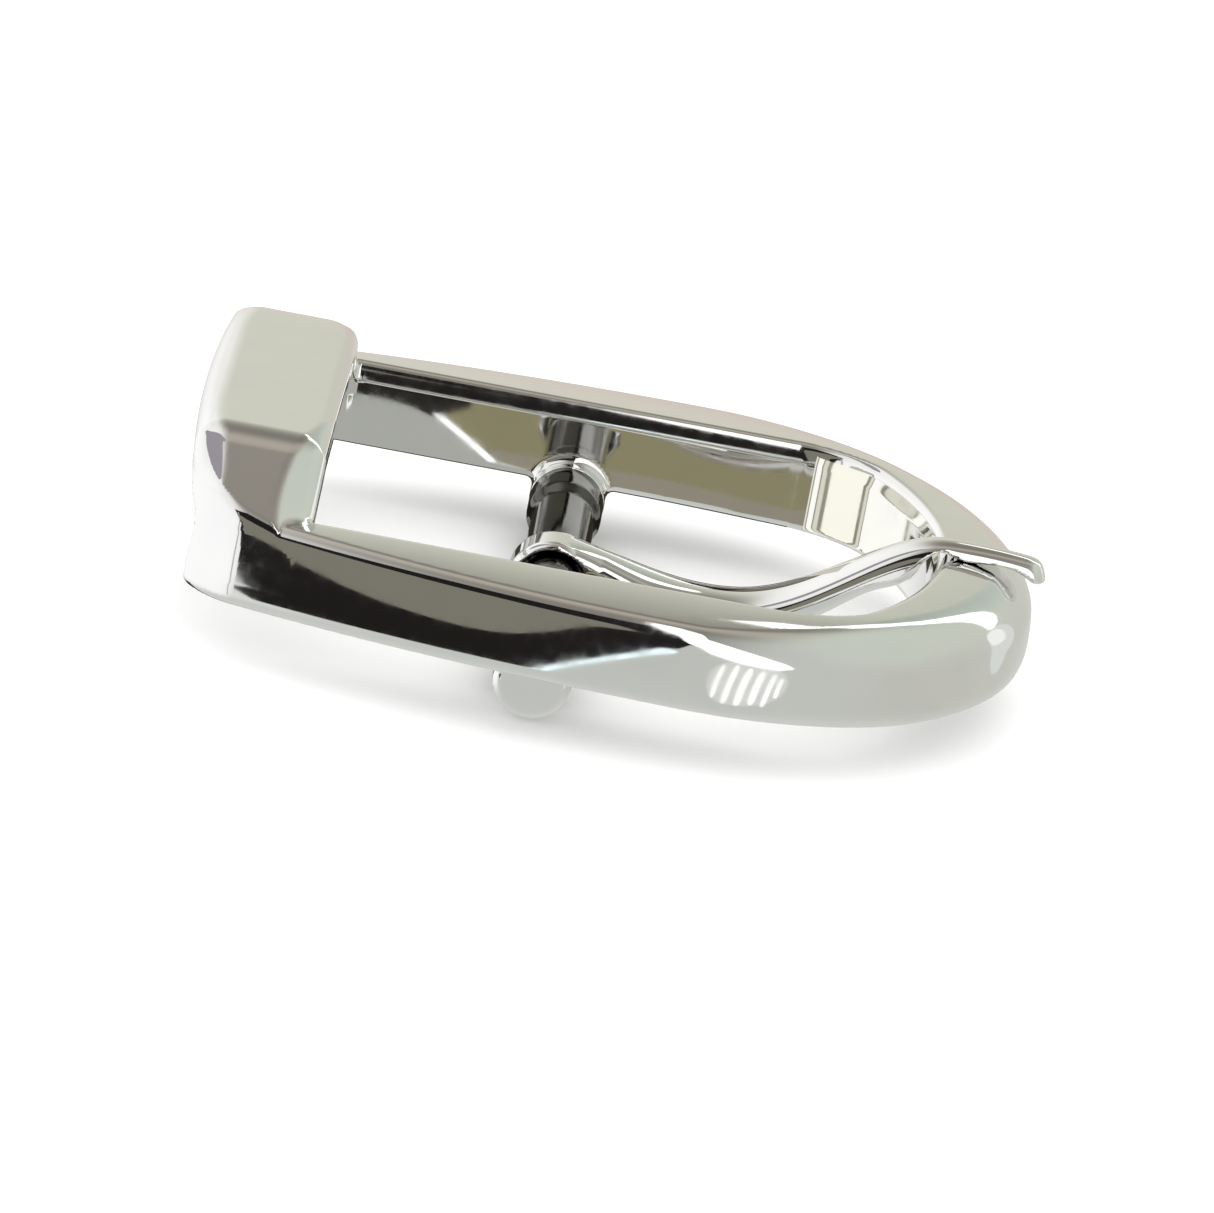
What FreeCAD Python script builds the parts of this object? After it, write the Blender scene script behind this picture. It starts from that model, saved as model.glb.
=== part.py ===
"""Strap buckle for a 20 mm strap: a cast frame with a raised keeper, a cross bar and a prong.

Millimetres. The origin is the middle of the cross bar, on its axis. +X runs from the bar to the
nose, +Y runs along the bar, and +Z is the side that the prong closes on.
"""
import FreeCAD, Part
import math
import os

from FreeCAD import Vector

# Strap opening and rails
opening_width = 20.5
rail_height = 3.75
rail_bottom = 0.6
rail_top = rail_bottom + rail_height

# Outline of the frame where it is widest, seen from above: four arcs on each side
nose_radius = 14.5
nose_centre_x = 5.6
side_bow_radius = 72.0
rear_corner_radius = 2.4
rear_bow_radius = 100.0
rear_x = -15.8

# How far the outer wall stands in from that outline: (height above the underside, inset)
wall_profile = [(0.0, 0.35), (1.1, 0.0), (2.5, 0.12), (rail_height, 0.5)]

# Front end of the strap opening
window_corner_x = 11.6
window_rise = 4.0
window_corner_radius = 1.0

# Keeper: a flat band bridging the rails, on sloping legs
keeper_front_x = -9.9
keeper_top = rail_bottom + 6.3
keeper_flat_half = 8.1
keeper_foot_half = 11.7
keeper_foot_edge_z = rail_top - 0.3
keeper_leg_low_z = rail_bottom + 1.0
keeper_thickness = 1.6
keeper_bend_radius = 0.6
keeper_under_radius = 0.8

# How far cutting and trimming shapes run past what they cut
overrun = 1.0

# Cross bar and the lugs that carry it
bar_radius = 1.4
bar_length = opening_width - 1.0
bar_fillet = 0.25
spigot_radius = 0.85
lug_radius = 1.62
lug_inner_y = bar_length / 2
lug_outer_y = 12.75
lug_edge_radius = 0.35
blind_spigot_end_y = 12.0

# Prong
prong_clearance = 0.03
curl_thickness = 0.42
curl_inner_radius = bar_radius + prong_clearance
curl_outer_radius = curl_inner_radius + curl_thickness
curl_start_angle = -62.0
curl_end_angle = 256.0
curl_half_width = 1.05

# Prong seen from the side: points of its upper and lower line from the curl to the nose
prong_upper_line = [
    (2.6, 1.42),
    (4.4, 1.02),
    (6.6, 0.82),
    (8.6, 1.12),
    (10.4, 1.95),
    (12.3, 3.2),
    (14.1, 4.34),
    (15.4, 4.84),
    (16.8, 4.95),
    (18.6, 4.9),
]
prong_lower_line = [
    (15.2, 3.85),
    (14.8, 3.38),
    (13.5, 2.52),
    (11.7, 1.28),
    (9.8, 0.12),
    (7.6, -0.36),
    (5.4, -0.2),
    (3.6, 0.25),
    (2.3, 0.62),
]
tip_end_slope = -0.06

# The flat under the prong that rests on the nose, and the tip that hooks a little over it
seat_start_x = 15.45
seat_z = rail_top + 0.02
hook_start = (19.75, seat_z)
hook_end = (19.85, rail_top - 0.42)
tip_under = (20.25, rail_top - 0.33)
tip_front = (20.35, rail_top + 0.02)
tip_over = (19.93, rail_top + 0.42)

# Half width of the prong seen from above, from the curl to the tip, and the round of its end
tip_end_radius = 0.55
tip_end_margin = 0.05
side_start_slope = 0.1
prong_half_widths = [
    (1.0, 1.1),
    (3.0, 1.38),
    (6.0, 1.6),
    (9.6, 1.6),
    (12.4, 1.36),
    (15.4, 1.06),
    (18.6, 0.92),
]


def line(start, end):
    return Part.LineSegment(start, end).toShape()


def arc(start, middle, end):
    return Part.Arc(start, middle, end).toShape()


def heading(start, end):
    return math.atan2(end.y - start.y, end.x - start.x)


def rear_corner_centre(bow, rear):
    """The centre of the arc that touches the side's bow and the rear's bow from inside."""
    from_bow = side_bow_radius - rear_corner_radius
    from_rear = rear_bow_radius - rear_corner_radius
    gap = rear - bow
    along = (from_bow**2 - from_rear**2 + gap.Length**2) / (2 * gap.Length)
    across = math.sqrt(from_bow**2 - along**2)
    unit = gap / gap.Length
    return bow + unit * along + Vector(-unit.y, unit.x, 0) * across


def outline_arcs(inset):
    """The arcs of one side, from the nose to the middle of the rear: centre, radius and angles."""
    nose = Vector(nose_centre_x, 0, 0)
    bow = Vector(nose_centre_x, nose_radius - side_bow_radius, 0)
    rear = Vector(rear_x + rear_bow_radius, 0, 0)
    corner = rear_corner_centre(bow, rear)
    side_end = heading(bow, corner)
    corner_end = heading(rear, corner)
    return [
        (nose, nose_radius - inset, 0, math.pi / 2),
        (bow, side_bow_radius - inset, math.pi / 2, side_end),
        (corner, rear_corner_radius - inset, side_end, corner_end),
        (rear, rear_bow_radius - inset, corner_end, math.pi),
    ]


def outline_wire(inset, z):
    """The frame's outline from above, moved in by inset."""
    edges = []
    for side in (1, -1):
        for centre, radius, first, last in outline_arcs(inset):
            points = []
            for angle in (first, (first + last) / 2, last):
                x = centre.x + radius * math.cos(angle)
                y = centre.y + radius * math.sin(angle)
                points.append(Vector(x, side * y, z))
            edges.append(arc(*points))
    return Part.Wire(Part.__sortEdges__(edges))


def outer_body():
    """The whole outline as a solid, with a wall that bulges a little below its middle."""
    wires = [outline_wire(inset, rail_bottom + height) for height, inset in wall_profile]
    return Part.makeLoft(wires, True, False)


def window_tool():
    """What the strap opening takes out: two straight sides, a curved front, open at the rear."""
    half = opening_width / 2
    low = rail_bottom - overrun
    rear = rear_x - overrun
    front = Vector(window_corner_x + window_rise, 0, low)
    near_corner = Vector(window_corner_x, -half, low)
    far_corner = Vector(window_corner_x, half, low)
    near_rear = Vector(rear, -half, low)
    far_rear = Vector(rear, half, low)
    edges = [
        line(near_rear, near_corner),
        arc(near_corner, front, far_corner),
        line(far_corner, far_rear),
        line(far_rear, near_rear),
    ]
    prism = Part.Face(Part.Wire(edges)).extrude(Vector(0, 0, rail_height + 2 * overrun))
    upright = [
        edge
        for edge in prism.Edges
        if abs(edge.CenterOfMass.x - window_corner_x) < 0.01 and edge.Length > rail_height
    ]
    return prism.makeFillet(window_corner_radius, upright)


def keeper():
    """The raised keeper: an arch across the rear, cut to the frame's outline at its corners."""
    slope = math.atan2(keeper_top - rail_top, keeper_foot_half - keeper_flat_half)
    under = keeper_top - keeper_thickness
    inner_flat = keeper_flat_half - keeper_thickness * math.tan(slope / 2)
    half = opening_width / 2
    spring_z = under - (half - inner_flat) * math.tan(slope)
    past_wall = nose_radius + overrun
    outside = [
        (past_wall, keeper_leg_low_z),
        (past_wall, keeper_foot_edge_z),
        (keeper_foot_half, rail_top),
        (keeper_flat_half, keeper_top),
    ]
    inside = [(inner_flat, under), (half, spring_z), (half, keeper_leg_low_z)]
    corners = [(y, z) for y, z in outside]
    corners += [(-y, z) for y, z in reversed(outside)]
    corners += [(-y, z) for y, z in reversed(inside)]
    corners += inside
    start = rear_x - overrun
    points = [Vector(start, y, z) for y, z in corners]
    band = Part.Face(Part.makePolygon(points + points[:1]))
    arch = band.extrude(Vector(keeper_front_x - start, 0, 0))
    arch = arch.makeFillet(keeper_bend_radius, long_edges_at(arch, keeper_flat_half, keeper_top))
    arch = arch.makeFillet(keeper_under_radius, long_edges_at(arch, inner_flat, under))
    top_inset = wall_profile[-1][1]
    base = Part.Face(outline_wire(top_inset, rail_bottom))
    return arch.common(base.extrude(Vector(0, 0, keeper_top)))


def long_edges_at(shape, y, z):
    """Edges along X that lie at height z and at distance y on either side."""
    found = []
    for edge in shape.Edges:
        centre = edge.CenterOfMass
        along_x = abs(edge.BoundBox.XLength - edge.Length) < 0.01
        if along_x and abs(abs(centre.y) - y) < 0.01 and abs(centre.z - z) < 0.01:
            found.append(edge)
    return found


def lug(side):
    """The round lug under one rail, with the end that faces outwards rounded over."""
    length = lug_outer_y - lug_inner_y
    start = Vector(0, side * lug_inner_y, 0)
    post = Part.makeCylinder(lug_radius, length, start, Vector(0, side, 0))
    rim = [
        edge
        for edge in post.Edges
        if abs(abs(edge.CenterOfMass.y) - lug_outer_y) < 0.01 and edge.Length > 1.0
    ]
    return post.makeFillet(lug_edge_radius, rim)


def spigot_rod():
    """The thin rod through both lugs: right through the far one, and stopping inside the near one."""
    length = lug_outer_y + blind_spigot_end_y
    start = Vector(0, -blind_spigot_end_y, 0)
    return Part.makeCylinder(spigot_radius, length, start, Vector(0, 1, 0))


def build_frame():
    body = outer_body().cut(window_tool())
    body = body.fuse([keeper(), lug(1), lug(-1)]).removeSplitter()
    return body.cut(spigot_rod())


def build_cross_bar():
    """The plain bar with a thinner spigot at each end, rounded where it meets its shoulders."""
    half = bar_length / 2
    body = Part.makeCylinder(bar_radius, bar_length, Vector(0, -half, 0), Vector(0, 1, 0))
    rims = [edge for edge in body.Edges if abs(edge.CenterOfMass.y) > half - 0.01]
    body = body.makeFillet(bar_fillet, rims)
    return body.fuse(spigot_rod()).removeSplitter()


def curve_through(points, start_tangent=None, end_tangent=None):
    curve = Part.BSplineCurve()
    if start_tangent and end_tangent:
        curve.interpolate(points, InitialTangent=start_tangent, FinalTangent=end_tangent)
    else:
        curve.interpolate(points)
    return curve.toShape()


def on_circle(radius, angle):
    """A point round the bar; the angle starts at the top and runs backwards over the bar."""
    turn = math.radians(90 + angle)
    return Vector(radius * math.cos(turn), 0, radius * math.sin(turn))


def side_points(pairs):
    return [Vector(x, 0, z) for x, z in pairs]


def prong_side_face():
    """The prong seen from the side: curl, dipped shank and the thin tip on the nose."""
    top = on_circle(curl_outer_radius, 0)
    upper_points = [top] + side_points(prong_upper_line)
    upper = curve_through(upper_points, Vector(1, 0, 0), Vector(1, 0, tip_end_slope))

    tip = side_points([tip_over, tip_front, tip_under, hook_end, hook_start, (seat_start_x, seat_z)])
    over, front, under, hook_low, hook_high, seat_start = tip
    tip_edges = [
        arc(upper_points[-1], over, front),
        arc(front, under, hook_low),
        line(hook_low, hook_high),
        line(hook_high, seat_start),
    ]

    curl_middle_angle = (curl_start_angle + curl_end_angle) / 2
    inner_start = on_circle(curl_inner_radius, curl_start_angle)
    inner_middle = on_circle(curl_inner_radius, curl_middle_angle)
    inner_end = on_circle(curl_inner_radius, curl_end_angle)
    outer_middle = on_circle(curl_outer_radius, curl_end_angle / 2)
    outer_end = on_circle(curl_outer_radius, curl_end_angle)
    lower = curve_through([seat_start] + side_points(prong_lower_line) + [inner_start])
    curl_edges = [
        arc(inner_start, inner_middle, inner_end),
        line(inner_end, outer_end),
        arc(outer_end, outer_middle, top),
    ]
    return Part.Face(Part.Wire([upper] + tip_edges + [lower] + curl_edges))


def prong_plan_prism():
    """The prong seen from above: narrow at the curl, widest in the dip, slim at the tip."""
    low = rail_bottom - 2 * curl_outer_radius - overrun
    high = keeper_top + overrun
    rear = -curl_outer_radius - overrun
    first_x, first_half = prong_half_widths[0]
    last_x, last_half = prong_half_widths[-1]
    end_x = tip_front[0] + tip_end_margin
    round_start = tip_front[0] - tip_end_radius
    edges = [
        arc(
            Vector(round_start, last_half, low),
            Vector(end_x, 0, low),
            Vector(round_start, -last_half, low),
        )
    ]
    for side in (1, -1):
        points = [Vector(x, side * y, low) for x, y in prong_half_widths]
        edges.append(curve_through(points, Vector(1, side * side_start_slope, 0), Vector(1, 0, 0)))
        edges.append(
            line(Vector(last_x, side * last_half, low), Vector(round_start, side * last_half, low))
        )
    half = curl_half_width
    curl_corners = [
        Vector(first_x, -first_half, low),
        Vector(0, -half, low),
        Vector(rear, -half, low),
        Vector(rear, half, low),
        Vector(0, half, low),
        Vector(first_x, first_half, low),
    ]
    edges += [line(start, end) for start, end in zip(curl_corners, curl_corners[1:])]
    base = Part.Face(Part.Wire(Part.__sortEdges__(edges)))
    return base.extrude(Vector(0, 0, high - low))


def build_prong():
    reach = max(y for x, y in prong_half_widths) + overrun
    slab = prong_side_face()
    slab.translate(Vector(0, -reach, 0))
    slab = slab.extrude(Vector(0, 2 * reach, 0))
    return slab.common(prong_plan_prism())


def main():
    os.makedirs("parts", exist_ok=True)
    nodes = {
        "frame": build_frame(),
        "cross_bar": build_cross_bar(),
        "prong": build_prong(),
    }
    for name, shape in nodes.items():
        solid = shape.Solids[0]
        print(name, len(shape.Solids), solid.isValid(), round(solid.Volume, 2))
        solid.exportStep(f"parts/{name}.step")


main()
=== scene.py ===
"""A polished strap buckle on a pale floor: the cast frame, its cross bar and its prong."""
import math

import bmesh
import bpy
import numpy as np
from mathutils import Matrix, Vector


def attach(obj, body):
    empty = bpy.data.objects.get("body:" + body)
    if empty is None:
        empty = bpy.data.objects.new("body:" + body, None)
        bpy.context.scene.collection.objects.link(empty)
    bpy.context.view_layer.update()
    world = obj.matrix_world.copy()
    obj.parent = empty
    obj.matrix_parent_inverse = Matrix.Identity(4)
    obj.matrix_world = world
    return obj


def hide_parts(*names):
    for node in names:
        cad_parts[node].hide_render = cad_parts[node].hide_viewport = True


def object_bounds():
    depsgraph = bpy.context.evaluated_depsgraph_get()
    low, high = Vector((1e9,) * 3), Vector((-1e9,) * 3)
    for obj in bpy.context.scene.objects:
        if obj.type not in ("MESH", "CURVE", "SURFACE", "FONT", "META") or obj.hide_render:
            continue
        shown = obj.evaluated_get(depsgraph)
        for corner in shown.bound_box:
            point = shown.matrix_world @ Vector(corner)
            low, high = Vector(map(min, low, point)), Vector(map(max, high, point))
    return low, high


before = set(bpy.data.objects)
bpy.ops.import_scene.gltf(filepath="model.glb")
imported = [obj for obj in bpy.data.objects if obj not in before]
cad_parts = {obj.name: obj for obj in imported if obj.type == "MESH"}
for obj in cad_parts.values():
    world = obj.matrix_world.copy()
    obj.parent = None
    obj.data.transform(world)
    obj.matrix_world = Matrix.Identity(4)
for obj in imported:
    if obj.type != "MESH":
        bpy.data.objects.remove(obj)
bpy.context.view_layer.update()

MM = 0.001

# ---- the ring, in millimetres: x runs to the nose, y along the cross bar and z up ----
OPENING_HALF = 10.25
OPENING_FRONT_X = 15.6
OPENING_FRONT_R = 15.13
OPENING_CORNER_R = 1.4
RAIL_LOW = 0.6
RAIL_TOP = 4.35
SIDE_BOW_R = 72.0
REAR_X = -15.8
REAR_BOW_R = 100.0
REAR_CORNER_R = 2.4
NOSE_X = 5.6
NOSE_R = 14.5
# the nose's underside comes down, from this x and over this length
NOSE_DROP = 0.35
NOSE_DROP_START = 3
NOSE_DROP_LENGTH = 12
NOSE_DROP_POWER = 1.5
# the outer wall is widest at the belly and comes in above and below it with the distance squared
BELLY_HEIGHT = 0.6
BELLY_UP = 0.055
BELLY_DOWN = 0.25
BELLY_PAST_TOP = 0.6
REAR_INSET_SHARE = 0.15
# the upper edge is round all the way, and rounder on the nose
RAIL_EDGE_R = 0.5
NOSE_EDGE_R = 1.6
NOSE_EDGE_DELAY = 1
NOSE_EDGE_LENGTH = 8
LOW_EDGE_R = 0.4
INNER_EDGE_R = 0.3
# the rail's top falls off towards the outside with the distance squared
TOP_CROWN = 0.022
TOP_CROWN_REACH = 4
# the inner wall leans out from this height up
INNER_LEAN_START = 2.9
INNER_LEAN = 0.14
INNER_CURVE = 0.17

# ---- the keeper ----
KEEPER_TOP = 6.9
KEEPER_THICK = 1.6
KEEPER_FRONT_X = -9.9
KEEPER_FLAT_HALF = 8.1
KEEPER_SLOPE_END = 11.7
KEEPER_SLOPE = math.atan2(KEEPER_TOP - RAIL_TOP, KEEPER_SLOPE_END - KEEPER_FLAT_HALF)
KEEPER_LEG_LOW = RAIL_LOW + 1.0
KEEPER_BEND_R = 0.5
KEEPER_FRONT_R = 0.6
TUNNEL_CORNER_R = 0.5
TUNNEL_EDGE_R = 0.3
BEVEL_RISE = 2.6
BEVEL_EDGE_R = 0.08
# where the bevels along the front and rear edges start: (distance from the middle, x)
FRONT_BEVEL = [
    (-1, -9.6), (3.5, -9.75), (6.6, -10.6), (8.1, -11.1), (10.3, -11.5), (12.0, -11.3), (13.2, -10.8),
]
REAR_BEVEL = [
    (-1, -14.75), (3.5, -14.75), (6.6, -14.6), (8.1, -14.3), (10.3, -14.0), (12.0, -14.4), (13.2, -15.2),
]
# the edge between the keeper and the wall is roundest at the rear
KEEPER_REAR_R = 0.5
KEEPER_REAR_START_X = -13.2
KEEPER_REAR_LENGTH = 1.5
KEEPER_REAR_LEAST = 0.4
# the fillet at the keeper's foot fades out towards the wall
KEEPER_FOOT_R = 0.25
KEEPER_FOOT_FADE_START = 0.2
KEEPER_FOOT_FADE = 0.6
KEEPER_FOOT_LEAST = 0.02

# ---- the lugs and the cross bar ----
LUG_R = 1.62
LUG_END = 12.75
LUG_EDGE_R = 0.35
LUG_INNER_EDGE_R = 0.1
LUG_FILLET_R = 0.45
LUG_HOLE_EDGE_R = 0.08
BLIND_HOLE_END = 12.0
BAR_R = 1.36
BAR_HALF = 9.75
BAR_EDGE_R = 0.1
BAR_COLLAR = 0.24
BAR_COLLAR_START = 7.1
BAR_COLLAR_LENGTH = 0.9
SPIGOT_R = 0.85
SPIGOT_EDGE_R = 0.12

# ---- the prong ----
CURL_INNER_R = 1.43
CURL_OUTER_R = 1.87
# the curl is open between these angles from +x
CURL_GAP_LOW = -14
CURL_GAP_HIGH = 40
SHANK_START_X = 0.4
PRONG_END_X = 20.35
PRONG_EDGE_R = 0.42
PRONG_DOME = 0.35
PRONG_DOME_LENGTH = 2
TIP_R = 0.9
TIP_START_X = 18
TIP_SQUASH = 0.9
TIP_CORNER_R = 0.1
# (x, z) along the prong's upper side
PRONG_UPPER = [
    (-1.0, 1.93), (0.0, 1.87), (1.3, 1.7), (2.6, 1.42), (4.4, 1.02), (6.6, 0.82), (8.6, 1.12),
    (10.4, 1.95), (12.3, 3.2), (14.1, 4.34), (15.4, 4.84), (16.8, 4.95), (18.6, 4.9),
    (19.4, 4.84), (20.0, 4.66), (20.35, 4.3), (20.6, 3.9),
]
# (x, z) along its underside
PRONG_LOWER = [
    (0.0, -0.6), (1.26, 0.67), (2.3, 0.62), (3.6, 0.25), (5.4, -0.2), (7.6, -0.36), (9.8, 0.12),
    (11.7, 1.28), (13.5, 2.52), (14.8, 3.38), (15.45, 4.37), (16.5, 4.37), (17.8, 4.37),
    (18.5, 4.37), (19.0, 4.28), (19.5, 4.04), (20.0, 3.8), (20.6, 3.75),
]
# (x, half of the width)
PRONG_HALF = [
    (-2.0, 1.05), (0.0, 1.05), (1.0, 1.1), (3.0, 1.38), (6.0, 1.6), (9.6, 1.6), (12.4, 1.36),
    (15.4, 1.06), (18.6, 0.92), (20.6, 0.9),
]

# ---- meshing ----
FRAME_CELL = 0.155
BAR_CELL = 0.1
PRONG_CELL = 0.09
# the box that each piece is meshed in: its low corner and its high corner
FRAME_BOX = ((-15.8, -14.7, -1.8), (20.1, 14.7, 7.1))
BAR_BOX = ((-1.7, -12.1, -1.7), (1.7, 12.8, 1.7))
PRONG_BOX = ((-2.0, -1.8, -2.0), (20.6, 1.8, 5.2))
LEAST_SLOPE = 0.2
LONGEST_STEP = 0.1
RELAX_ROUNDS = 3
RELAX_SHARE = 0.5
NORMAL_STEP = 0.02


# ---- distance fields: negative inside the metal ----
def round_max(a, b, r):
    """The larger of two distances, with the outer edge between them rounded off."""
    edge = np.hypot(np.maximum(a + r, 0), np.maximum(b + r, 0))
    return np.minimum(np.maximum(a, b), -r) + edge


def round_min(a, b, r):
    """The smaller of two distances, with the hollow corner between them filled."""
    return -round_max(-a, -b, r)


def smooth_line(points, samples=600):
    """A natural cubic curve through points with rising x, as a table to read from."""
    known_x, known_z = np.array(points, float).T
    total = len(known_x)
    step = np.diff(known_x)
    system = np.zeros((total, total))
    right_side = np.zeros(total)
    system[0, 0] = 1
    system[-1, -1] = 1
    for i in range(1, total - 1):
        before, after = step[i - 1], step[i]
        system[i, i - 1 : i + 2] = before, 2 * (before + after), after
        rise_after = (known_z[i + 1] - known_z[i]) / after
        rise_before = (known_z[i] - known_z[i - 1]) / before
        right_side[i] = 6 * (rise_after - rise_before)
    bend = np.linalg.solve(system, right_side)
    xs = np.linspace(known_x[0], known_x[-1], samples)
    k = np.clip(np.searchsorted(known_x, xs) - 1, 0, total - 2)
    ahead = known_x[k + 1] - xs
    behind = xs - known_x[k]
    span = step[k]
    zs = (bend[k] * ahead**3 + bend[k + 1] * behind**3) / (6 * span)
    zs += (known_z[k] / span - bend[k] * span / 6) * ahead
    zs += (known_z[k + 1] / span - bend[k + 1] * span / 6) * behind
    return xs, zs


upper_line = smooth_line(PRONG_UPPER)
lower_line = smooth_line(PRONG_LOWER)
half_line = smooth_line(PRONG_HALF)
front_bevel_line = smooth_line(FRONT_BEVEL)
rear_bevel_line = smooth_line(REAR_BEVEL)


def opening_field(x, y):
    """The strap opening from above: straight sides, a curved front, open at the rear."""
    ahead = np.maximum(x - (OPENING_FRONT_X - OPENING_FRONT_R), 0)
    front = np.hypot(ahead, y) - OPENING_FRONT_R
    return round_max(np.abs(y) - OPENING_HALF, front, OPENING_CORNER_R)


def wall_field(x, y, z):
    """Everything inside the ring's outer wall."""
    side = np.abs(y)
    bow = np.hypot(x - NOSE_X, side - (NOSE_R - SIDE_BOW_R)) - SIDE_BOW_R
    nose = np.hypot(x - NOSE_X, y) - NOSE_R
    rear = np.hypot(x - (REAR_X + REAR_BOW_R), y) - REAR_BOW_R
    from_belly = np.clip(z, RAIL_LOW, RAIL_TOP + BELLY_PAST_TOP) - RAIL_LOW - BELLY_HEIGHT
    inset = np.where(from_belly > 0, BELLY_UP, BELLY_DOWN) * from_belly**2
    sides = np.where(x > NOSE_X, nose, bow) + inset
    return round_max(sides, rear + REAR_INSET_SHARE * inset, REAR_CORNER_R)


def keeper_field(x, y, z, wall):
    """The raised keeper: an arch across the rear, with a bevel along each long edge."""
    side = np.abs(y)
    drop = (side - KEEPER_FLAT_HALF) * math.sin(KEEPER_SLOPE)
    slope = drop + (z - KEEPER_TOP) * math.cos(KEEPER_SLOPE)
    crown = round_max(z - KEEPER_TOP, slope, KEEPER_BEND_R)
    tunnel = round_max(crown + KEEPER_THICK, side - OPENING_HALF, TUNNEL_CORNER_R)
    scale = 1 / math.hypot(1, BEVEL_RISE)
    under_crown = crown * BEVEL_RISE * scale
    front_bevel = (x - np.interp(side, *front_bevel_line)) * scale + under_crown
    rear_bevel = (np.interp(side, *rear_bevel_line) - x) * scale + under_crown
    arch = round_max(crown, front_bevel, BEVEL_EDGE_R)
    arch = round_max(arch, rear_bevel, BEVEL_EDGE_R)
    rear_share = np.clip((KEEPER_REAR_START_X - x) / KEEPER_REAR_LENGTH, KEEPER_REAR_LEAST, 1)
    arch = round_max(arch, wall, KEEPER_REAR_R * rear_share)
    arch = round_max(arch, x - KEEPER_FRONT_X, KEEPER_FRONT_R)
    arch = np.maximum(arch, KEEPER_LEG_LOW - z)
    return round_max(arch, -tunnel, TUNNEL_EDGE_R)


def ring_field(x, y, z, wall):
    """The two rails and the nose."""
    opening = opening_field(x, y)
    top = z - RAIL_TOP + TOP_CROWN * np.clip(opening, 0, TOP_CROWN_REACH) ** 2
    on_nose = np.clip((x - NOSE_X - NOSE_EDGE_DELAY) / NOSE_EDGE_LENGTH, 0, 1)
    ring = round_max(wall, top, RAIL_EDGE_R + (NOSE_EDGE_R - RAIL_EDGE_R) * on_nose)
    drop_share = np.clip((x - NOSE_DROP_START) / NOSE_DROP_LENGTH, 0, 1) ** NOSE_DROP_POWER
    low = RAIL_LOW - NOSE_DROP * drop_share
    ring = round_max(ring, low - z, LOW_EDGE_R)
    leaning = np.maximum(z - RAIL_LOW - INNER_LEAN_START, 0)
    inner_wall = INNER_LEAN * leaning + INNER_CURVE * leaning**2 - opening
    return round_max(ring, inner_wall, INNER_EDGE_R)


def lug_field(x, y, z):
    """The two round lugs, one at each end of the cross bar."""
    side = np.abs(y)
    lug = round_max(np.hypot(x, z) - LUG_R, side - LUG_END, LUG_EDGE_R)
    return round_max(lug, BAR_HALF - side, LUG_INNER_EDGE_R)


def frame_field(x, y, z):
    """The whole casting, with the holes for the cross bar's spigots."""
    wall = wall_field(x, y, z)
    ring = ring_field(x, y, z, wall)
    keeper = keeper_field(x, y, z, wall)
    foot_share = (-wall - KEEPER_FOOT_FADE_START) / KEEPER_FOOT_FADE
    body = round_min(ring, keeper, KEEPER_FOOT_R * np.clip(foot_share, KEEPER_FOOT_LEAST, 1))
    body = round_min(body, lug_field(x, y, z), LUG_FILLET_R)
    hole = np.maximum(np.hypot(x, z) - SPIGOT_R, -BLIND_HOLE_END - y)
    return round_max(body, -hole, LUG_HOLE_EDGE_R)


def bar_field(x, y, z):
    """The cross bar: a rod with a collar near each end, and a spigot in each lug."""
    side = np.abs(y)
    axle = np.hypot(x, z)
    share = np.clip((side - BAR_COLLAR_START) / BAR_COLLAR_LENGTH, 0, 1)
    radius = BAR_R + BAR_COLLAR * share**2 * (3 - 2 * share)
    core = round_max(axle - radius, side - BAR_HALF, BAR_EDGE_R)
    ends = np.maximum(y - LUG_END, -BLIND_HOLE_END - y)
    spigot = round_max(axle - SPIGOT_R, ends, SPIGOT_EDGE_R)
    return np.minimum(core, spigot)


def height_and_scale(x, line):
    """A side line's height at x, and what turns a height above it into a distance."""
    slope = np.interp(x, line[0], np.gradient(line[1], line[0]))
    return np.interp(x, *line), 1 / np.sqrt(1 + slope**2)


def prong_field(x, y, z):
    """The prong: a shank between two side lines, and a curl round the bar."""
    top, top_scale = height_and_scale(x, upper_line)
    low, low_scale = height_and_scale(x, lower_line)
    half = np.interp(x, *half_line)
    across = np.clip(np.abs(y) / half, 0, 1)
    top = top - PRONG_DOME * across**2 * np.clip(x / PRONG_DOME_LENGTH, 0, 1)
    shank = np.maximum((z - top) * top_scale, (low - z) * low_scale)
    shank = np.maximum(shank, SHANK_START_X - x)
    axle = np.hypot(x, z)
    angle = np.degrees(np.arctan2(z, x))
    curl = np.maximum(axle - CURL_OUTER_R, CURL_INNER_R - axle)
    curl = np.maximum(curl, np.where((angle > CURL_GAP_LOW) & (angle < CURL_GAP_HIGH), 1.0, -1.0))
    profile = np.minimum(shank, curl)
    profile = np.maximum(profile, CURL_INNER_R - axle)
    tip = np.hypot(np.maximum(x - (PRONG_END_X - TIP_R), 0), y * TIP_SQUASH) - TIP_R
    outline = round_max(np.abs(y) - half, np.where(x > TIP_START_X, tip, -1.0), TIP_CORNER_R)
    return round_max(profile, outline, PRONG_EDGE_R)


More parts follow.
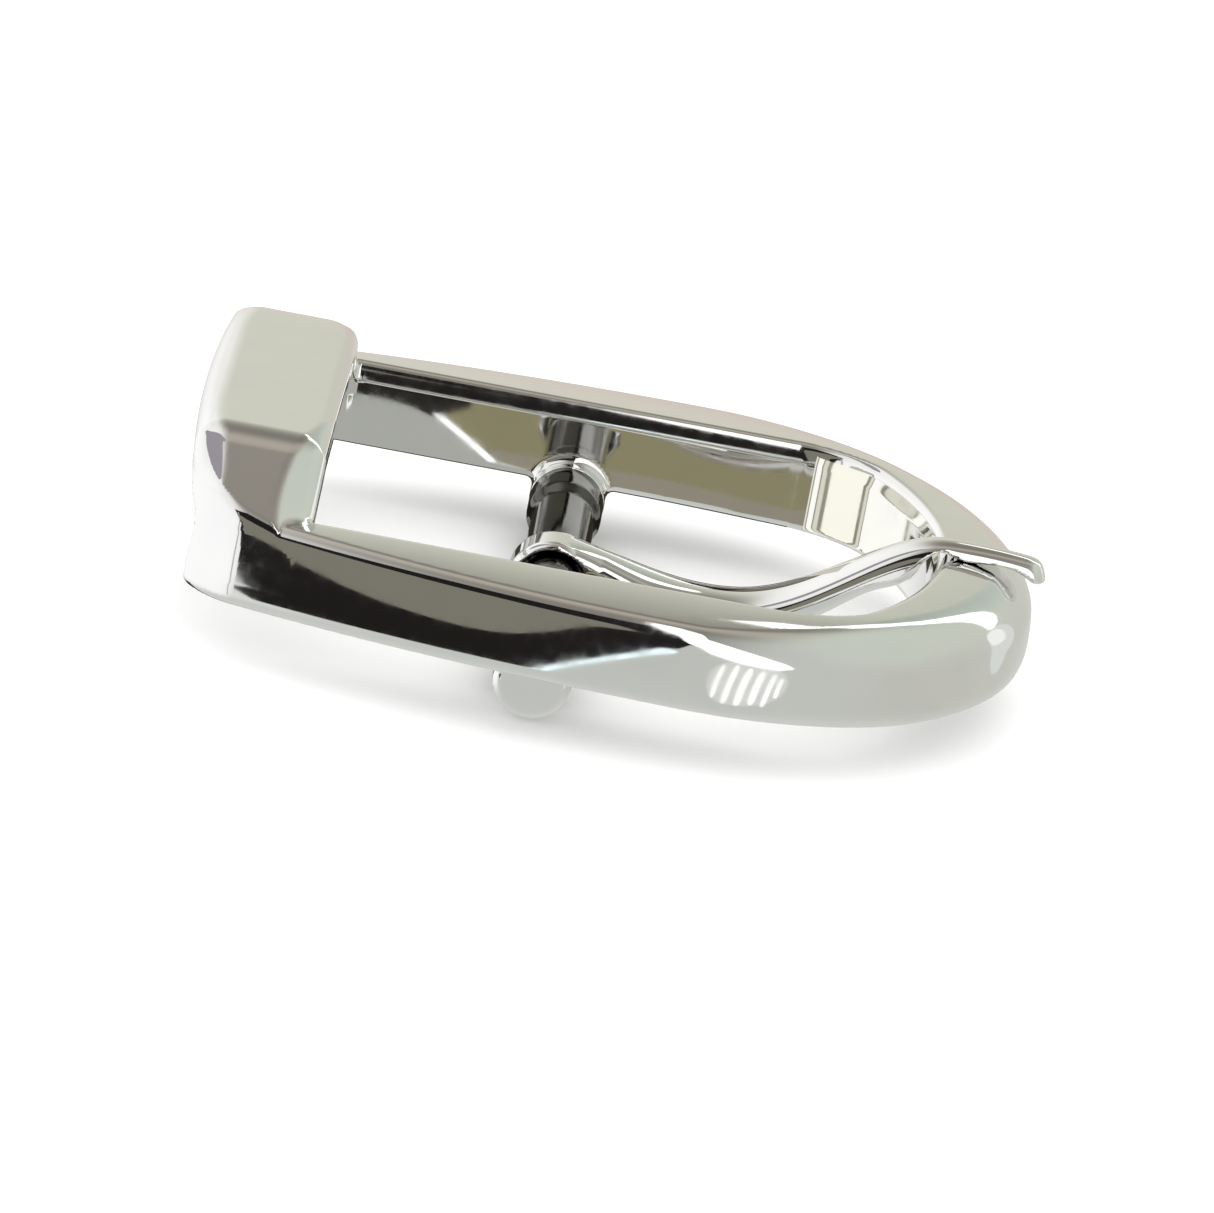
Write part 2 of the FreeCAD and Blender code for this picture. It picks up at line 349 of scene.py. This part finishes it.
# ---- meshes from the fields ----
def surface_points(field, cell, low, high):
    """Vertices and quads of a field's zero surface, one vertex in each cell that it crosses."""
    axes = [np.arange(start - cell, stop + 2 * cell, cell) for start, stop in zip(low, high)]
    value = np.asarray(field(*np.meshgrid(*axes, indexing="ij")), np.float32)
    shape = tuple(size - 1 for size in value.shape)
    total = np.zeros(shape + (3,), np.float32)
    count = np.zeros(shape, np.float32)
    faces = []
    for axis in range(3):
        near = [slice(None)] * 3
        far = [slice(None)] * 3
        near[axis] = slice(0, -1)
        far[axis] = slice(1, None)
        near_value = value[tuple(near)]
        far_value = value[tuple(far)]
        crossing = (near_value < 0) != (far_value < 0)
        corner = np.argwhere(crossing)
        from_value = near_value[crossing]
        to_value = far_value[crossing]
        point = corner.astype(np.float32)
        point[:, axis] += from_value / (from_value - to_value)
        second, third = [other for other in range(3) if other != axis]
        around = []
        for back_second, back_third in ((0, 0), (1, 0), (1, 1), (0, 1)):
            place = corner.copy()
            place[:, second] -= back_second
            place[:, third] -= back_third
            np.add.at(total, tuple(place.T), point)
            np.add.at(count, tuple(place.T), 1)
            around.append(np.ravel_multi_index(tuple(place.T), shape))
        quads = np.stack(around, 1)
        outward = (from_value < 0) != (axis == 1)
        quads[~outward] = quads[~outward][:, ::-1]
        faces.append(quads)
    used = np.argwhere(count > 0)
    number = np.full(count.size, -1)
    number[np.ravel_multi_index(tuple(used.T), shape)] = np.arange(len(used))
    points = total[tuple(used.T)] / count[tuple(used.T)][:, None]
    origin = np.array([values[0] for values in axes])
    return points.astype(float) * cell + origin, number[np.concatenate(faces)]


def gradient(field, points, step=0.01):
    """The field's value and its slope at each point."""
    x, y, z = points.T
    slope = np.stack(
        [
            field(x + step, y, z) - field(x - step, y, z),
            field(x, y + step, z) - field(x, y - step, z),
            field(x, y, z + step) - field(x, y, z - step),
        ],
        1,
    )
    return field(x, y, z), slope / (2 * step)


def settle(field, points, rounds):
    """Moves points onto the field's zero surface."""
    for _ in range(rounds):
        value, slope = gradient(field, points)
        size = np.maximum((slope**2).sum(1), LEAST_SLOPE)
        points = points - np.clip(value / size, -LONGEST_STEP, LONGEST_STEP)[:, None] * slope
    return points


def relax(points, faces, share):
    """Moves each vertex part of the way to the middle of its neighbours."""
    total = np.zeros_like(points)
    count = np.zeros(len(points))
    for a, b in ((0, 1), (1, 2), (2, 3), (3, 0)):
        for here, there in ((a, b), (b, a)):
            for k in range(3):
                total[:, k] += np.bincount(faces[:, here], points[faces[:, there], k], len(points))
            count += np.bincount(faces[:, here], minlength=len(points))
    return points + share * (total / count[:, None] - points)


def add_piece(name, field, cell, box, body, node, material):
    """One visible piece, meshed from its field inside the box."""
    points, faces = surface_points(field, cell, *box)
    points = settle(field, points, 2)
    for _ in range(RELAX_ROUNDS):
        points = settle(field, relax(points, faces, RELAX_SHARE), 1)
    points = settle(field, points, 2)
    mesh = bpy.data.meshes.new(name)
    mesh.from_pydata((points * MM).tolist(), [], faces.tolist())
    mesh.update()
    _, slope = gradient(field, points, NORMAL_STEP)
    normals = slope / np.maximum(np.linalg.norm(slope, axis=1), 1e-9)[:, None]
    for polygon in mesh.polygons:
        polygon.use_smooth = True
    mesh.normals_split_custom_set_from_vertices(normals.tolist())
    mesh.materials.append(material)
    piece = bpy.data.objects.new(name, mesh)
    bpy.context.scene.collection.objects.link(piece)
    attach(piece, body)
    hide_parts(node)


# ---- plating ----
MOTTLES_PER_MM = 0.5
SMUDGES_PER_MM = 1.7
WAVES_PER_MM = 0.45
LINES_PER_MM = 9.0
LINE_STRETCH = (0.15, 1.0, 1.0)
LINE_SHARE = 0.02
SMUDGE_LOW = 0.6
SMUDGE_HIGH = 1.5
NOISE_LOW = 0.3
NOISE_HIGH = 0.7


def plated_steel(name, light, dark, roughness, waviness):
    """Plating over metal: faint mottling, uneven polish, and a surface that is not quite flat."""
    material = bpy.data.materials.new(name)
    material.use_nodes = True
    nodes = material.node_tree.nodes
    links = material.node_tree.links
    shader = nodes["Principled BSDF"]
    shader.inputs["Metallic"].default_value = 1.0
    place = nodes.new("ShaderNodeTexCoord")
    in_mm = nodes.new("ShaderNodeMapping")
    in_mm.inputs["Scale"].default_value = (1 / MM, 1 / MM, 1 / MM)
    links.new(place.outputs["Object"], in_mm.inputs["Vector"])

    def noise(scale, detail, stretch=(1, 1, 1)):
        texture = nodes.new("ShaderNodeTexNoise")
        texture.inputs["Scale"].default_value = scale
        texture.inputs["Detail"].default_value = detail
        along = nodes.new("ShaderNodeMapping")
        along.inputs["Scale"].default_value = stretch
        links.new(in_mm.outputs["Vector"], along.inputs["Vector"])
        links.new(along.outputs["Vector"], texture.inputs["Vector"])
        return texture.outputs["Fac"]

    def spread(value, low, high):
        span = nodes.new("ShaderNodeMapRange")
        span.inputs["From Min"].default_value = NOISE_LOW
        span.inputs["From Max"].default_value = NOISE_HIGH
        span.inputs["To Min"].default_value = low
        span.inputs["To Max"].default_value = high
        links.new(value, span.inputs["Value"])
        return span.outputs["Result"]

    tint = nodes.new("ShaderNodeMix")
    tint.data_type = "RGBA"
    tint.inputs["A"].default_value = (*light, 1)
    tint.inputs["B"].default_value = (*dark, 1)
    links.new(spread(noise(MOTTLES_PER_MM, detail=3), 0.0, 1.0), tint.inputs["Factor"])
    links.new(tint.outputs["Result"], shader.inputs["Base Color"])
    uneven = spread(noise(SMUDGES_PER_MM, detail=4), roughness * SMUDGE_LOW, roughness * SMUDGE_HIGH)
    links.new(uneven, shader.inputs["Roughness"])

    ripple = nodes.new("ShaderNodeBump")
    ripple.inputs["Strength"].default_value = 1.0
    ripple.inputs["Distance"].default_value = waviness * MM
    links.new(noise(WAVES_PER_MM, detail=1), ripple.inputs["Height"])
    lines = nodes.new("ShaderNodeBump")
    lines.inputs["Strength"].default_value = 1.0
    lines.inputs["Distance"].default_value = waviness * LINE_SHARE * MM
    links.new(noise(LINES_PER_MM, detail=2, stretch=LINE_STRETCH), lines.inputs["Height"])
    links.new(ripple.outputs["Normal"], lines.inputs["Normal"])
    links.new(lines.outputs["Normal"], shader.inputs["Normal"])
    return material


chrome = plated_steel(
    "chrome_plate",
    light=(0.87, 0.868, 0.86),
    dark=(0.845, 0.85, 0.845),
    roughness=0.055,
    waviness=0.003,
)
# painted shade: the bar is plated like the frame, and its near-black colour stands in for the dark
# reflections it shows between the rails
bar_chrome_painted_shade = plated_steel(
    "bar_plate_painted_shade",
    light=(0.12, 0.117, 0.112),
    dark=(0.085, 0.083, 0.08),
    roughness=0.09,
    waviness=0.003,
)

add_piece(
    "buckle_frame", frame_field, FRAME_CELL, FRAME_BOX,
    "frame", "frame", chrome,
)
add_piece(
    "buckle_bar", bar_field, BAR_CELL, BAR_BOX,
    "frame", "cross_bar", bar_chrome_painted_shade,
)
add_piece(
    "buckle_prong", prong_field, PRONG_CELL, PRONG_BOX,
    "prong", "prong", chrome,
)

# ---- floor ----
FLOOR_HALF = 1.5
FLOOR_COLOUR = (0.95, 0.95, 0.95, 1)
FLOOR_ROUGHNESS = 0.9
floor_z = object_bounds()[0].z


def stage_mesh(name, points, faces, material):
    """A mesh that belongs to the staging and not to the object."""
    mesh = bpy.data.meshes.new(name)
    mesh.from_pydata([tuple(point) for point in points], [], faces)
    mesh.materials.append(material)
    piece = bpy.data.objects.new(name, mesh)
    bpy.context.scene.collection.objects.link(piece)
    return piece


def only_in_reflections(piece):
    piece.visible_camera = False
    piece.visible_diffuse = False
    piece.visible_transmission = False
    piece.visible_volume_scatter = False
    piece.visible_shadow = False


def add_floor():
    """A white floor that takes shadows and isn't mirrored in the metal."""
    material = bpy.data.materials.new("studio_floor")
    material.use_nodes = True
    shader = material.node_tree.nodes["Principled BSDF"]
    shader.inputs["Base Color"].default_value = FLOOR_COLOUR
    shader.inputs["Roughness"].default_value = FLOOR_ROUGHNESS
    signs = ((-1, -1), (1, -1), (1, 1), (-1, 1))
    corners = [(a * FLOOR_HALF, b * FLOOR_HALF, floor_z) for a, b in signs]
    floor = stage_mesh("studio_floor", corners, [(0, 1, 2, 3)], material)
    floor.visible_glossy = False


add_floor()

# ---- what the polished metal mirrors: soft walls all round, with flags and light panels ----
# the share of the light that the plating sends back, which the glows make up for
METAL_SHARE = 0.86
DOME_R = 0.7
DOME_STEP = 2.0
LAYER_GAP = 0.01
CARD_STEP = 7.0
# (azimuth, elevation, display colour, sharpness); azimuth 0 is towards -Y and 90 towards +X
SURROUNDINGS = [
    (180, 2, (196, 178, 168), 40),
    (180, 19, (204, 207, 190), 40),
    (180, 34, (146, 141, 129), 40),
    (158, 30, (166, 180, 172), 40),
    (180, 50, (96, 91, 82), 40),
    (180, 76, (168, 160, 149), 40),
    (0, 80, (120, 115, 106), 30),
    (0, 50, (50, 46, 42), 20),
    (0, 10, (186, 188, 183), 12),
    (0, -40, (190, 193, 188), 12),
    (0, -75, (200, 200, 198), 8),
    (180, -40, (200, 200, 196), 8),
    (40, 0, (190, 192, 187), 14),
    (40, 40, (190, 192, 187), 14),
    (90, 0, (188, 188, 180), 14),
    (90, 40, (195, 200, 190), 14),
    (130, 0, (190, 190, 182), 14),
    (135, 25, (198, 202, 190), 14),
    (-60, 0, (250, 250, 250), 12),
    (-60, 40, (235, 235, 232), 12),
    (-120, 0, (252, 252, 252), 12),
    (-120, 40, (240, 240, 236), 12),
    (-150, 10, (250, 250, 250), 14),
]


def linear(colour):
    """A display colour from 0 to 255 as linear light."""
    value = np.array(colour, float) / 255
    return np.where(value <= 0.04045, value / 12.92, ((value + 0.055) / 1.055) ** 2.4)


def direction(azimuth, elevation):
    """The unit vector towards a place on the studio walls."""
    a = np.radians(azimuth)
    e = np.radians(elevation)
    return np.stack([np.sin(a) * np.cos(e), -np.cos(a) * np.cos(e), np.sin(e)], -1)


def surroundings(directions):
    """The walls' light: each place takes the colours near it, weighted by closeness."""
    total = 0
    weight = 0
    for azimuth, elevation, colour, sharpness in SURROUNDINGS:
        closeness = directions @ direction(azimuth, elevation) - 1
        share = np.exp(sharpness * closeness)[:, None]
        total = total + share * linear(colour) / METAL_SHARE
        weight = weight + share
    return total / weight


def glow_material(name, colour=None, strength=1.0):
    """A glow of one colour, or without a colour, of the mesh's own tint."""
    material = bpy.data.materials.new(name)
    material.use_nodes = True
    nodes = material.node_tree.nodes
    links = material.node_tree.links
    nodes.clear()
    output = nodes.new("ShaderNodeOutputMaterial")
    glow = nodes.new("ShaderNodeEmission")
    glow.inputs["Strength"].default_value = strength
    if colour is None:
        tint = nodes.new("ShaderNodeVertexColor")
        tint.layer_name = "tint"
        links.new(tint.outputs["Color"], glow.inputs["Color"])
    else:
        glow.inputs["Color"].default_value = (*(linear(colour) / METAL_SHARE), 1)
    links.new(glow.outputs["Emission"], output.inputs["Surface"])
    return material


def add_walls():
    azimuths = np.arange(-180, 180, DOME_STEP)
    elevations = np.arange(-90, 91, DOME_STEP)
    all_azimuths, all_elevations = np.meshgrid(azimuths, elevations, indexing="ij")
    directions = direction(all_azimuths, all_elevations).reshape(-1, 3)
    columns = len(elevations)
    faces = []
    for i in range(len(azimuths)):
        here = i * columns
        beside = (i + 1) % len(azimuths) * columns
        for j in range(columns - 1):
            faces.append((here + j, beside + j, beside + j + 1, here + j + 1))
    points = (directions * DOME_R).tolist()
    dome = stage_mesh("studio_walls", points, faces, glow_material("studio_walls"))
    tint = dome.data.color_attributes.new("tint", "FLOAT_COLOR", "POINT")
    opaque = np.ones((len(directions), 1))
    tint.data.foreach_set("color", np.concatenate([surroundings(directions), opaque], 1).ravel())
    only_in_reflections(dome)


def softened(outline, rounds):
    """The outline with its corners cut off, as many times as asked."""
    points = np.array(outline, float)
    for _ in range(rounds):
        ahead = np.roll(points, -1, axis=0)
        cut = [0.75 * points + 0.25 * ahead, 0.25 * points + 0.75 * ahead]
        points = np.stack(cut, 1).reshape(-1, 2)
    return points


def add_card(name, outline, colour, layer, strength=1.0, rounds=0):
    """A glowing patch on the studio walls; its outline is in degrees of azimuth and elevation."""
    radius = DOME_R - LAYER_GAP * layer
    patch = bmesh.new()
    patch.faces.new([patch.verts.new((a, e, 0)) for a, e in softened(outline, rounds)])
    bmesh.ops.triangulate(patch, faces=patch.faces[:])
    while max(edge.calc_length() for edge in patch.edges) > CARD_STEP:
        long_edges = [edge for edge in patch.edges if edge.calc_length() > CARD_STEP]
        bmesh.ops.subdivide_edges(patch, edges=long_edges, cuts=1)
        bmesh.ops.triangulate(patch, faces=patch.faces[:])
    points = [tuple(direction(vertex.co.x, vertex.co.y) * radius) for vertex in patch.verts]
    faces = [tuple(vertex.index for vertex in face.verts) for face in patch.faces]
    patch.free()
    only_in_reflections(stage_mesh(name, points, faces, glow_material(name, colour, strength)))


# a dark flag with a grey window, and a thin light strip along its lower edge
FLAG = [
    (-30, -20.5), (-9.5, -20.5), (-6, -11), (-2.4, -1.8), (0, 4), (4, 7), (9, 10.5), (6, 18), (6, 40),
    (8, 64), (-24, 64), (-46, 40), (-40, 16), (-34, 5), (-33, -12),
]
FLAG_WINDOW = [
    (-44, 38), (-38, 17), (-33, 12.5), (-27, 4.5), (-21.5, -3), (-15, -6.5), (-11, -5), (-8, 0.5),
    (-5, 8), (-2.5, 15), (-1.6, 22), (-4, 38),
]
STRIP = [
    (-9.3, -21), (-8.4, -21), (-4.9, -11), (-1.3, -2.2), (1.4, 3.4), (0.2, 4), (-2.2, -1.6),
    (-5.7, -10.8),
]
# a light panel to the right of the flag, with leaning slats below it and a halo round them
PANEL = [
    (0, 84), (1.5, 40), (3, 13), (8, 6), (22, 1.5), (38, -1), (40, 5), (36, 18), (26, 42), (14, 84),
]
HALO = [(12, -21), (36, -18), (39, 1), (12, 4)]
# (azimuth of the left foot, lower end, upper end, width)
SLATS = [
    (13.5, -17, 0.5, 1.5), (17.3, -19.5, 1, 2.0), (21.5, -20, 0, 2.4), (26, -18.5, -1, 2.4),
    (30.4, -19, -2, 1.7), (33.8, -14, -4, 1.5),
]
SLAT_LEAN = 0.12
SLAT_BELLY = 0.2
# the light behind the buckle that runs along the nose's upper edge, and its bright end
TOP_PANEL = [
    (178, 36), (168, 42), (158, 48), (146, 39), (134, 25), (130, 17), (140, 17), (147, 26), (152, 33),
    (159, 40), (168, 37), (176, 32),
]
NOSE_PANEL = [(120, -16), (137, -18), (139, 16), (124, 20)]
NOSE_PANEL_TOP = [(122, 3), (133, 1), (134, 16), (125, 18)]
CORNER_FLAG = [(-42, -25), (-40, -25), (-40, 40), (-42, 40)]
REAR_FLAG = [(-128, 38), (-84, 38), (-84, 74), (-128, 74)]


def add_slats():
    for k, (left, low, high, width) in enumerate(SLATS):
        lean = SLAT_LEAN * (high - low)
        middle = (low + high) / 2
        right = left + width
        slat = [
            (left, low), (right, low), (right + lean * SLAT_BELLY, middle),
            (right + lean, high), (left + lean, high), (left + lean * SLAT_BELLY, middle),
        ]
        add_card(f"panel_slat_{k}", slat, (255, 255, 252), 2, strength=1.1, rounds=2)


add_walls()
add_card("flag_front", FLAG, (30, 27, 27), 1)
add_card("flag_front_window", FLAG_WINDOW, (120, 118, 107), 2, rounds=1)
add_card("strip_front", STRIP, (225, 240, 242), 3, strength=1.2)
add_card("panel_front", PANEL, (255, 255, 252), 2, strength=1.25, rounds=1)
add_card("panel_halo", HALO, (207, 208, 204), 1, rounds=2)
add_slats()
add_card("panel_top", TOP_PANEL, (255, 255, 250), 2, strength=1.4, rounds=1)
add_card("panel_nose", NOSE_PANEL, (210, 213, 208), 1, rounds=2)
add_card("panel_nose_top", NOSE_PANEL_TOP, (236, 239, 234), 2, rounds=2)
add_card("flag_corner", CORNER_FLAG, (170, 170, 172), 2)
add_card("flag_rear", REAR_FLAG, (150, 146, 152), 1, rounds=1)

# ---- painted shade and highlights on the ground under the buckle, seen only in reflections by the far inner wall and the cross bar: (x, y) in mm ----
PAINTED_GROUND_LIGHT = [
    (-17, -3.5), (-8.6, -3.5), (-7.6, -3.1), (-6.4, -2.3), (-3.8, 2.1), (-0.9, 3.0), (-0.9, 10.2),
    (-17, 10.2),
]
PAINTED_GROUND_SHADOW = [
    (-17, -3.4), (-8.6, -3.4), (-7.6, -3.0), (-6.6, -2.3), (-6.0, -2.2), (-5.0, -4.1), (-5.0, -9),
    (-17, -9),
]
PAINTED_GROUND_SHADE = [
    (-6.3, -2.4), (-3.6, 2.1), (-0.8, 3.0), (-0.8, 3.8), (9.9, 3.8), (9.9, -9), (-5.0, -9),
    (-5.0, -4.1),
]
PAINTED_GROUND_LOW_SHADE = [
    (-4.2, 1.0), (-3.6, 2.1), (-0.8, 3.0), (-0.8, 3.8), (9.9, 3.8), (9.9, 1.6), (4, 0.6),
]
PAINTED_FAR_SIDE_SHADE = [(-11, 10.5), (9.5, 10.5), (9.5, 26), (-11, 26)]
PAINTED_GROUND_HIGHLIGHT = [(-6.6, -2.5), (-6.1, -2.5), (-3.5, 2.1), (-3.3, 2.6), (-3.7, 2.6), (-4.0, 2.1)]


def add_painted_ground_patch(name, outline, colour, lift, strength=1.0):
    """A painted patch of shade or light that lies a little above the floor and shows only in
    reflections.
    """
    points = [(x * MM, y * MM, floor_z + lift * MM) for x, y in outline]
    material = glow_material(name, colour, strength)
    only_in_reflections(stage_mesh(name, points, [tuple(range(len(points)))], material))


# painted reflections of the floor: light grey floor, a dark shadow patch, olive shade under the buckle,
# a greyer shade, dark shade under and beyond the far rail, and a white highlight streak
add_painted_ground_patch("painted_ground_light", PAINTED_GROUND_LIGHT, (166, 167, 162), 0.05)
add_painted_ground_patch("painted_ground_shadow", PAINTED_GROUND_SHADOW, (36, 33, 31), 0.1)
add_painted_ground_patch("painted_ground_shade", PAINTED_GROUND_SHADE, (134, 129, 101), 0.15)
add_painted_ground_patch("painted_ground_low_shade", PAINTED_GROUND_LOW_SHADE, (140, 135, 121), 0.18)
add_painted_ground_patch("painted_far_side_shade", PAINTED_FAR_SIDE_SHADE, (60, 56, 48), 0.05)
add_painted_ground_patch("painted_ground_highlight", PAINTED_GROUND_HIGHLIGHT, (255, 255, 255), 0.2, strength=1.2)

# ---- painted reflections: upright light and dark strips inside the opening, which the front corner of the opening mirrors as streaks of highlight and shade ----
CORNER_X = 10.13
CORNER_LOW = -1.8
CORNER_HIGH = 4.0
# (y of one side, y of the other, display colour of the painted streak)
PAINTED_CORNER_STREAKS = [
    (10.05, 9.85, (225, 224, 214)), (9.85, 9.72, (150, 148, 130)), (9.72, 9.3, (253, 252, 246)),
    (9.3, 9.22, (140, 138, 122)), (9.22, 9.0, (215, 213, 200)), (9.0, 8.85, (140, 138, 120)),
    (8.85, 7.3, (250, 248, 236)), (7.3, 6.4, (120, 117, 102)), (6.4, 3.0, (196, 194, 184)),
]


def add_painted_corner_streaks():
    for k, (start, stop, colour) in enumerate(PAINTED_CORNER_STREAKS):
        outline = ((start, CORNER_LOW), (stop, CORNER_LOW), (stop, CORNER_HIGH), (start, CORNER_HIGH))
        points = [(CORNER_X * MM, y * MM, z * MM) for y, z in outline]
        name = f"painted_corner_streak_{k}"
        only_in_reflections(stage_mesh(name, points, [(0, 1, 2, 3)], glow_material(name, colour)))


add_painted_corner_streaks()

# ---- world and camera ----
SKY_STRENGTH = 1.5
AZIMUTH = math.radians(-0.237)
ELEVATION = math.radians(20.0)
ROLL = math.radians(10.66)
DISTANCE_MM = 408.43
SIDE_MM = 2.218
LIFT_MM = -1.731
SENSOR_MM = 36.0
LENS_MM = 288.9


def add_sky():
    sky = bpy.data.worlds.new("studio")
    bpy.context.scene.world = sky
    sky.use_nodes = True
    background = sky.node_tree.nodes["Background"]
    background.inputs["Color"].default_value = (1, 1, 1, 1)
    background.inputs["Strength"].default_value = SKY_STRENGTH


def add_camera():
    """The photo's view: a long lens, a little above the buckle and rolled."""
    camera_data = bpy.data.cameras.new("camera")
    camera = bpy.data.objects.new("camera", camera_data)
    bpy.context.scene.collection.objects.link(camera)
    bpy.context.scene.camera = camera
    back_x = math.sin(AZIMUTH) * math.cos(ELEVATION)
    back_y = -math.cos(AZIMUTH) * math.cos(ELEVATION)
    back = Vector((back_x, back_y, math.sin(ELEVATION)))
    level_right = Vector((math.cos(AZIMUTH), math.sin(AZIMUTH), 0))
    level_up = back.cross(level_right)
    right = math.cos(ROLL) * level_right + math.sin(ROLL) * level_up
    up = -math.sin(ROLL) * level_right + math.cos(ROLL) * level_up
    place = back * DISTANCE_MM + right * SIDE_MM + up * LIFT_MM + Vector((0, 0, RAIL_LOW))
    camera.matrix_world = Matrix((
        (right.x, up.x, back.x, place.x * MM),
        (right.y, up.y, back.y, place.y * MM),
        (right.z, up.z, back.z, place.z * MM),
        (0, 0, 0, 1),
    ))
    camera_data.sensor_width = SENSOR_MM
    camera_data.lens = LENS_MM
    camera_data.clip_start = 0.01
    camera_data.clip_end = 20.0


add_sky()
add_camera()
bpy.context.scene.view_settings.view_transform = "Standard"
